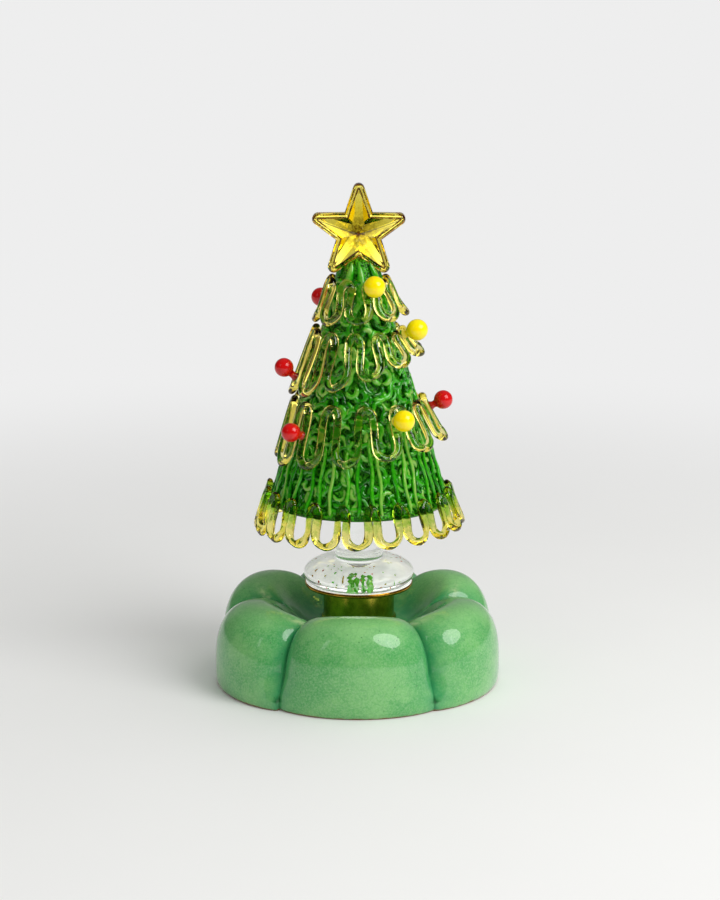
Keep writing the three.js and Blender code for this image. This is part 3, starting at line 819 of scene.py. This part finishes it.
def skirt_ribs():
    """Rods that run up the skirt from the hem, each with its own wander and ripple."""
    count, length = 40, 44
    first = math.radians(-90.8)
    number = np.arange(count)[:, None]
    above = 0.2 + np.linspace(0, 1, length)[None] * rng.uniform(15, 24, (count, 1))
    around = 2 * math.pi * (number + 0.2 * np.sin(number * 2.3)) / count + first
    around = around + 0.016 * np.sin(above / 1.9 + number * 1.7)
    around = around + 0.01 * np.sin(above / 4.3 + number)
    lift = -0.38 + 0.06 * np.sin(above / 1.25 + number * 2.1)
    thickness = 0.56 + 0.05 * np.sin(above * 1.3 + number)
    return Rods(on_cone(around, above, lift), thickness, rng.uniform(0.4, 1.15, count), 10)


def crown_leaves():
    """Broad tapered rods that close the top of the tree, like leaves."""
    count, length = 8, 26
    share = np.linspace(0, 1, length)[None]
    number = np.arange(count)[:, None]
    above = 49 + 13.3 * share + 0 * number
    around = 2 * math.pi * (number + 0.15 * np.sin(number * 2.9)) / count
    around = around + 0.25 * np.sin(share * 3 + number)
    belly = np.sin(math.pi * np.clip(share * 0.9 + 0.08, 0, 1))
    thickness = 0.35 + belly + 0 * number
    lift = 0.1 - thickness - 2 * np.clip(share - 0.75, 0, 1)
    return Rods(on_cone(around, above, lift), thickness, rng.uniform(0.55, 0.95, count), 12)


# Radii and heights above the hem of the wall's inner ceiling and of its domed top
CEILING = [(0.02, 44.6), (2.0, 44.6), (4.0, 44.5), (6.5, 44.2)]
DOME = [(4.3, 58.9), (4.15, 59.7), (3.9, 60.6), (3.6, 61.5), (3.0, 62.3), (2.0, 62.9), (0.9, 63.15)]
# The lip at the hem: how far each point is drawn in from the tree's side at one height, and the
# height that it has itself
LIP = [(-0.8, 2.4, -0.7), (-0.9, 1.6, -0.95), (-0.8, 0.7, -0.8)]
LIP += [(0, 0.1, -0.1), (0.7, 0.2, 0.7), (1.3, 1.0, 1.4)]


def cone_wall():
    """The thin wall that carries the rods, with a thick lip at the hem and a domed top."""
    columns = 144
    inside = np.arange(43.5, -0.5, -1.5)
    outside = np.arange(2, 58.5, 1)
    outline = [*CEILING]
    outline += [(tree_radius(above) - TREE_WALL - 0.6, above) for above in inside]
    outline += [(tree_radius(at) - drawn, above) for at, drawn, above in LIP]
    outline += [
        (tree_radius(above) - 1.95 + 0.75 * ramped(above, 52, 58), above) for above in outside
    ]
    outline += DOME
    points = [
        (r * math.cos(turn), r * math.sin(turn), above + HEM)
        for r, above in outline
        for turn in turns(columns)
    ]
    faces = flipped(grid_faces(len(outline), columns, False))
    last = (len(outline) - 1) * columns
    top = len(points)
    points += [(0, 0, HEM + TREE_HEIGHT), (0, 0, HEM + CEILING[0][1])]
    faces += [(last + j, last + (j + 1) % columns, top) for j in range(columns)]
    faces += [((j + 1) % columns, j, top + 1) for j in range(columns)]
    return np.array(points), faces


def ribbed_wall():
    """The wall and the ribs of the skirt on it, in one piece of two glasses."""
    wall_points, wall_faces = cone_wall()
    rib_points, rib_faces, rib_painted_shade_canes = skirt_ribs().mesh()
    points = np.concatenate([wall_points, rib_points])
    faces = wall_faces + [tuple(len(wall_points) + i for i in face) for face in rib_faces]
    # The ribs' cane marks carry painted shade down their flanks.
    marks = {"cane": np.concatenate([np.full(len(wall_points), 0.75), rib_painted_shade_canes])}
    replaced = ["tree_skirt"]
    piece = made("ribbed_wall", points, faces, green_glass, "tree", replaced, "green_glass", marks)
    piece.data.materials.append(core_glass)
    in_wall = np.arange(len(faces)) < len(wall_faces)
    piece.data.polygons.foreach_set("material_index", in_wall.astype(np.int32))


def woven_tree():
    """The ribbed wall, the curled rods over it in two bands, and the leaves at the top."""
    band_height = 22
    ribbed_wall()
    curls = curled_rods()
    low = curls.paths[:, :, 2].mean(1) - HEM < band_height
    curls.chosen(low).show("woven_lower", ["tree_middle"])
    curls.chosen(~low).show("woven_upper", ["tree_upper"])
    crown_leaves().show("crown_leaves", ["tree_top"])


# Loops of rod and the balls on them


class Garland(NamedTuple):
    """Loops that hang round the tree. Heights are of the rod's middle above the hem, and phase is
    the azimuth of a loop in degrees. leg_share is where the top of a leg stands, from 0 at the
    loop's middle to 1 half way to the next loop. flare is how far the loops' ends stand out. lean
    raises those ends on the +X side, and swing pushes them out there."""

    count: int
    phase: float
    leg_share: float
    half_width: float
    top: float
    bottom: float
    flare: float
    lean: float
    swing: float


ARCH_HEIGHT = 1.9  # of the bends between loops
GARLANDS = {
    "garland_top": Garland(8, -90, 0.55, 3.1, 57.5, 48.2, 1.2, 0.8, 0.7),
    "garland_upper": Garland(11, -78.5, 0.55, 3, 44.5, 34, 2.3, 5.3, 1),
    "garland_lower": Garland(12, -69, 0.6, 3.2, 26.6, 14, 1, 3, 1.8),
    "hem_loops": Garland(20, -90.8, 0.71, 3, 3, -6.5, 0.2, 0.7, 0.3),
}


def rod_point(garland, loop, angle, fall):
    """A point on the middle of a garland's rod, fall going from 0 at its top to 1 at its bottom."""
    turn = math.radians(garland.phase + 360 * loop / garland.count) + angle
    drop = garland.bottom - garland.top + garland.lean * math.cos(turn)
    above = garland.top + drop * fall
    stand_out = max(0, garland.flare + garland.swing * math.cos(turn)) * fall**2
    radius = tree_radius(above) + SEAT_GAP + ROD_RADIUS + stand_out
    return np.array([radius * math.cos(turn), radius * math.sin(turn), HEM + above])


def loop_points(garland, loop):
    """One loop: the bend before it, a leg, the round end and the other leg."""
    half_pitch = math.pi / garland.count
    drop = garland.top - garland.bottom
    end_radius = tree_radius(garland.bottom) + SEAT_GAP + ROD_RADIUS + garland.flare
    end_angle = garland.half_width / end_radius
    leg_top = garland.leg_share * half_pitch
    arch_fall = ARCH_HEIGHT / drop
    steps = [(-half_pitch, 0), (-leg_top, arch_fall)]
    for turn in (-90, -45, 0, 45, 90):
        rise = garland.half_width * (1 - math.cos(math.radians(turn)))
        steps.append((end_angle * math.sin(math.radians(turn)), 1 - rise / drop))
    steps.append((leg_top, arch_fall))
    return [rod_point(garland, loop, angle, fall) for angle, fall in steps]


def smooth_path(points, substeps):
    """A closed curve through the points."""
    points = np.asarray(points)
    before, after, beyond = [np.roll(points, shift, 0) for shift in (1, -1, -2)]
    slope = after - before
    curve = 2 * before - 5 * points + 4 * after - beyond
    swing = 3 * points - before - 3 * after + beyond
    steps = [
        0.5 * (2 * points + slope * t + curve * t**2 + swing * t**3)
        for t in np.arange(substeps) / substeps
    ]
    return np.stack(steps, 1).reshape(-1, 3)


def rod(name, garland):
    """A garland's rod, a little uneven. The hem's is flatter, with a painted green where it meets
    the tree.
    """
    sides = 14
    hem = name == "hem_loops"
    path = smooth_path([p for loop in range(garland.count) for p in loop_points(garland, loop)], 7)
    number = np.arange(len(path))
    thickness = ROD_RADIUS * (1 + 0.05 * np.sin(number * 0.37) + 0.04 * np.sin(number * 0.151 + 2))
    points, faces = sweep(path[None], thickness[None], sides, True, 0.2 if hem else 0.08)
    highest, lowest = path[:, 2].max(), path[:, 2].min()
    # Painted green for the tree seen through the hem's rod, most towards its top.
    fused = (path[:, 2] - lowest) / (highest - lowest) * hem
    glass = hem_glass if hem else yellow_glass
    marks = {"fused": np.repeat(fused, sides)}
    made(name + "_rod", points, faces, glass, "tree", [name], "yellow_glass", marks)


class Seat(NamedTuple):
    """Where a ball sits. along runs from 0 to 1 down one leg of a loop and up the other. rise tips
    the ball up from square to the tree's side, in degrees."""

    garland: str
    loop: int
    along: float
    rise: float


BALL_RADII = {"yellow": 2.75, "red": 2.45}
BALL_FINISHES = {"yellow": yellow_bead, "red": red_bead}
NECK_RADIUS = 1.15
NECK = 0.7
BALLS = {
    "yellow_ball_crown": Seat("garland_top", 0, 0.95, -10),
    "yellow_ball_right": Seat("garland_upper", 2, 0.1, 5),
    "red_ball_left": Seat("garland_upper", 8, 0.7, 25),
    "red_ball_right": Seat("garland_lower", 2, 0.85, 10),
    "yellow_ball_front": Seat("garland_lower", 0, 0.85, -5),
    "red_ball_front": Seat("garland_lower", 10, 0.2, 5),
    "red_ball_crown": Seat("garland_top", 5, 0.5, 35),
    "red_ball_rear": Seat("garland_top", 4, 0.5, 10),
    "yellow_ball_rear": Seat("garland_upper", 5, 0.2, 5),
    "red_ball_rear_right": Seat("garland_lower", 4, 0.5, 20),
    "yellow_ball_rear_left": Seat("garland_lower", 7, 0.2, 5),
}


def ball(name, seat):
    """A ball with a short neck that is fused to the rod of a garland."""
    garland = GARLANDS[seat.garland]
    points = [*loop_points(garland, seat.loop), loop_points(garland, seat.loop + 1)[0]]
    place = seat.along * (len(points) - 1)
    i = min(int(place), len(points) - 2)
    way = points[i + 1] - points[i]
    spot = points[i] + way * (place - i)
    azimuth = math.atan2(spot[1], spot[0])
    tilt = math.atan(TREE_SLOPE) + math.radians(seat.rise)
    level = math.cos(tilt)
    out = np.array([level * math.cos(azimuth), level * math.sin(azimuth), math.sin(tilt)])
    slant = abs(float(out @ unit(way)))
    stand_off = (ROD_RADIUS + SEAT_GAP + slant * NECK_RADIUS) / (1 - slant**2) ** 0.5

    shade = name.split("_")[0]
    radius = BALL_RADII[shade]
    reach = stand_off + radius + NECK
    foot = -reach + ROD_RADIUS * 0.75
    outline = [(0, foot), (1.25, foot), (1.2, foot + 0.25), (0.95, foot + 0.7)]
    outline += [(0.88, -radius - 0.25), (0.98, -radius + 0.02)]
    start = -math.pi / 2 + math.asin(NECK_RADIUS * 0.9 / radius)
    for turn in np.linspace(start, math.pi / 2, 30)[:-1]:
        outline.append((radius * math.cos(turn), radius * math.sin(turn)))
    outline.append((0, radius))
    glass, slot = BALL_FINISHES[shade], shade + "_bead"
    piece = closed_lathe(name + "_bead", outline, glass, "tree", [name], slot, 40)
    neck_top = -radius * 0.75
    stain = [ramped(v.co[2] / MM, neck_top, foot) for v in piece.data.vertices]
    piece.data.attributes.new("neck", "FLOAT", "POINT").data.foreach_set("value", stain)
    turn = Vector((0, 0, 1)).rotation_difference(Vector(out)).to_matrix().to_4x4()
    turn.translation = Vector((spot + out * reach) * MM)
    piece.data.transform(turn)


# Star

STAR_POINTS = 5
STAR_RADIUS = 12.4
STAR_TIP = 1.5
STAR_RIM = 1.7  # half of the thickness at the outline
STAR_CROWN = 4  # half of the thickness at the centre
# The border's rings: how far each is drawn in, its depth over the rim's, and its painted shade
BORDER = [(0, 0.3, 0), (0, 0.75, 0), (0.22, 1.1, 0), (0.55, 1.3, 0), (0.9, 1.22, 0.15)]
BORDER += [(1.15, 0.95, 1), (1.35, 0.95, 1), (1.5, 1.1, 0.1)]


def star_outline(inset):
    """The star's outline, each side drawn in by inset millimetres."""
    outline = []
    for k in range(STAR_POINTS):
        tip = math.pi / 2 + 2 * math.pi * k / STAR_POINTS
        notch = tip + math.pi / STAR_POINTS
        middle = STAR_RADIUS - STAR_TIP - max(0.0, inset - STAR_TIP + 0.1) * 2.2
        round_end = max(STAR_TIP - inset, 0.1)
        for swing in np.linspace(-1.2, 1.2, 9):
            x = middle * math.cos(tip) + round_end * math.cos(tip + swing)
            z = middle * math.sin(tip) + round_end * math.sin(tip + swing)
            outline.append((x, z))
        reach = STAR_NOTCH - inset * 1.136
        outline.append((reach * math.cos(notch), reach * math.sin(notch)))
    return np.array(outline)


def star_piece():
    """Two faceted faces inside a rounded border, with a seam between border and facets."""
    rings = [(star_outline(inset), STAR_RIM * depth, burn) for inset, depth, burn in BORDER]
    # The centre is painted dark too, a painted shade for refraction.
    rings.append((star_outline(BORDER[-1][0]) * 0.1, STAR_CROWN - 0.2, 0.7))
    count = len(rings[0][0])
    points, seam_and_tip_darks = [], []
    for side in (-1, 1):
        for ring, y, burn in rings:
            for x, z in ring:
                points.append((x, side * y, z + STAR_CENTRE))
                at_tip = ramped(math.hypot(x, z) / STAR_RADIUS, 0.93, 0.98)
                seam_and_tip_darks.append(max(burn, 0.9 * at_tip))
        points.append((0, side * STAR_CROWN, STAR_CENTRE))
        seam_and_tip_darks.append(1.0)
    per_side = len(points) // 2
    last = (len(rings) - 1) * count
    front = flipped(grid_faces(len(rings), count, False))
    front += [(last + j, last + (j + 1) % count, per_side - 1) for j in range(count)]
    faces = front + [tuple(per_side + i for i in face[::-1]) for face in front]
    for j in range(count):
        faces.append((j, per_side + j, per_side + (j + 1) % count, (j + 1) % count))
    marks = {"burn": seam_and_tip_darks}
    replaced = ["star_topper"]
    piece = made("glass_star", points, faces, star_glass, "tree", replaced, "star_glass", marks)
    bevel = piece.modifiers.new("rounded edges", "BEVEL")
    bevel.width = 0.16 * MM
    bevel.segments = 2
    bevel.limit_method = "ANGLE"
    bevel.angle_limit = math.radians(14)


ceramic_base()
collar()
turntable()
glass_foot()
foot_flecks()
woven_tree()
for rod_name, rod_garland in GARLANDS.items():
    rod(rod_name, rod_garland)
for ball_name, ball_seat in BALLS.items():
    ball(ball_name, ball_seat)
star_piece()

# The solid model's own pieces that stay
KEPT = {
    rubber: ["housing_gasket", "clamp_pad"],
    brass: ["bearing_cage"],
    steel: [
        "clamp_washer",
        "clamp_screw",
        "bearing_outer_race",
        "bearing_inner_race",
        "bearing_shield_upper",
        "bearing_shield_lower",
        "spindle",
        "spindle_washer",
        "spindle_screw",
        *[f"bearing_ball_{i}" for i in range(1, 8)],
    ],
}
for material, names in KEPT.items():
    for node_name in names:
        nodes[node_name].data.materials.clear()
        nodes[node_name].data.materials.append(material)


# Floor, light and camera. Sizes are in metres from here on.

FLOOR_RADIUS = 8
BACKDROP = "eeeeee"


def floor():
    """A pale floor that fades into the plain backdrop away from the object."""
    mesh = bpy.data.meshes.new("floor")
    ring = [(FLOOR_RADIUS * math.cos(turn), FLOOR_RADIUS * math.sin(turn), 0) for turn in turns(64)]
    mesh.from_pydata(ring, [], [tuple(range(len(ring)))])
    it = Finish("pale_floor", {"Roughness": 0.6, "Specular IOR Level": 0.2})
    it.vary(Base_Color=it.mix(it.noise(40, 2), "eeeeec", "f0f0ee"))
    metres = it.place(1 / MM)
    far = it.node("VectorMath", {"operation": "LENGTH"}, {0: metres}, 1).between(0.12, 0.42)
    plain = it.node("Emission", {}, {"Color": colour(BACKDROP), "Strength": 1.0})
    share = far * it.light_path("Is Camera Ray")
    blend = it.node("MixShader", {}, {0: share, 1: Value(it, it.shader.outputs[0]), 2: plain})
    it.tree.links.new(blend.socket, it.tree.nodes["Material Output"].inputs["Surface"])
    mesh.materials.append(it.material)
    piece = bpy.data.objects.new("floor", mesh)
    bpy.context.scene.collection.objects.link(piece)


def studio():
    """A pale wall behind, brighter on the right, with dark sides and a dark room in front, which
    give glass its dark lines."""
    world = bpy.data.worlds.new("studio")
    bpy.context.scene.world = world
    it = Finish(world, {"Color": (1, 1, 1, 1)}, "Background")
    way = it.node("TexCoord", output=0)
    x, y, z = [it.axis(way, number) for number in range(3)]
    side = x.maths("ABSOLUTE")

    ceiling = z.between(0.15, 0.6)
    wall = (0.95 - ceiling * 0.6) * (1 - side.between(0.52, 0.68) * 0.95) * y.between(-0.35, 0.1)
    wall = wall * (x.between(-0.45, -0.1) * 0.15 + 0.85)
    ends = side.between(0.92, 0.94) * (1 - z.maths("ABSOLUTE").between(0.12, 0.2))
    strips = 1 - (side + y * 1.2).maths("ABSOLUTE").between(0.05, 0.1)
    strips = strips * (1 - y.between(-0.3, -0.1))
    strips = strips * z.between(0.36, 0.42) * (1 - z.between(0.66, 0.72))

    mirrored = wall * 0.28 + strips * 1.6 + 0.03
    seen_through = wall * 1.85 + ends * 2.4 + strips * 5
    room = mirrored + it.light_path("Is Transmission Ray") * seen_through
    deep = it.light_path("Transmission Depth").between(3, 8)
    room = room * (1 - deep) + deep * (y.between(-0.6, 0.3) * 0.9 + 0.35)

    diffuse = it.light_path("Diffuse Depth").maths("MINIMUM", 1)
    fill = (x * 0.4 + 0.68).maths("MAXIMUM", 0.05)
    camera_ray = it.light_path("Is Camera Ray")
    lit = diffuse * fill + (1 - diffuse) * room
    it.vary(Strength=camera_ray * 0.855 + (1 - camera_ray) * lit)


def key_light():
    """One soft round light from the upper right in front."""
    place = (0.4, -0.3, 0.5)
    light = bpy.data.lights.new("key", "AREA")
    light.shape = "DISK"
    light.size = 0.46
    light.energy = 2.5
    lamp = bpy.data.objects.new("key", light)
    lamp.location = place
    aim = Vector((0, 0, 0.05)) - Vector(place)
    lamp.rotation_euler = aim.to_track_quat("-Z", "Y").to_euler()
    lamp.visible_camera = False
    bpy.context.scene.collection.objects.link(lamp)


def camera():
    """The camera that was fitted to the photograph, looking 13 degrees down."""
    data = bpy.data.cameras.new("camera")
    data.lens = 92.32
    data.sensor_width = 36
    eye = bpy.data.objects.new("camera", data)
    eye.location = (0.00031, -0.5846, 0.196)
    eye.rotation_euler = (math.radians(90 - 13), 0, 0)
    bpy.context.scene.collection.objects.link(eye)
    bpy.context.scene.camera = eye


floor()
studio()
key_light()
camera()
bpy.context.scene.view_settings.view_transform = "Standard"
